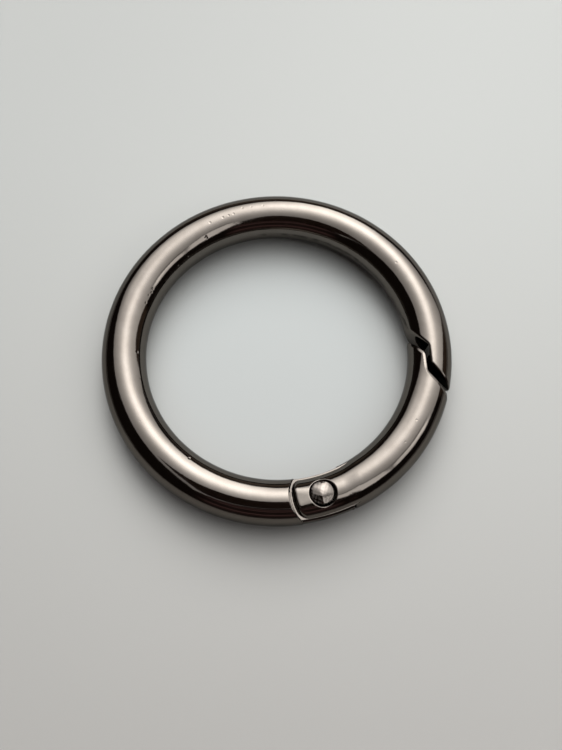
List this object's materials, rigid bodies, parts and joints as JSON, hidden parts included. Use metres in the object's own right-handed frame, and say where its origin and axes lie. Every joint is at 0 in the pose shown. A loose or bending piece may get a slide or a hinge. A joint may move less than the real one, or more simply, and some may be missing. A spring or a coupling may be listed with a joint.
{
  "type": "spring gate ring",
  "caption": "Round die-cast gate ring with a hinged, spring-loaded gate that opens inwards, for joining straps, keys and charms.",
  "frame": {"origin": "middle of the ring, in the plane that its bar's centreline lies in", "axes": "+Z square to the ring, +X towards the latch side, +Y away from the hinge"},
  "size_m": [0.0508, 0.0508, 0.0064],
  "materials": {
    "plated_casting": "polished zinc casting with dark gunmetal plating, fine casting pits and a parting line",
    "plated_gate": "polished zinc casting with dark gunmetal plating, worn bright along its edges",
    "plated_rivet": "dark gunmetal plating over a hammered, slightly faceted rivet head",
    "pin_steel": "plain turned steel",
    "spring_steel": "bright drawn spring wire"
  },
  "bodies": {
    "ring": {"ring_body": "plated_casting"},
    "gate": {"gate": "plated_gate", "rivet": "plated_rivet", "gate_spring": "spring_steel"},
    "plunger": {"plunger": "pin_steel"}
  },
  "joints": [
    {"name": "gate_hinge", "type": "hinge", "parent": "ring", "child": "gate", "pos_m": [0.0066, -0.0212, 0], "axis": [0, 0, 1], "range_deg": [0, 45], "stiffness_Nm_per_rad": 0.0034, "springref_deg": -126.05},
    {"name": "plunger_slide", "type": "slide", "parent": "gate", "child": "plunger", "axis": [0.8389, 0.5444, 0], "range_m": [0, 0.00075], "deforming": ["gate_spring"]}
  ],
  "couplings": [
    {"joint": "plunger_slide", "follows": "gate_hinge", "m_per_rad": 0.0009}
  ]
}
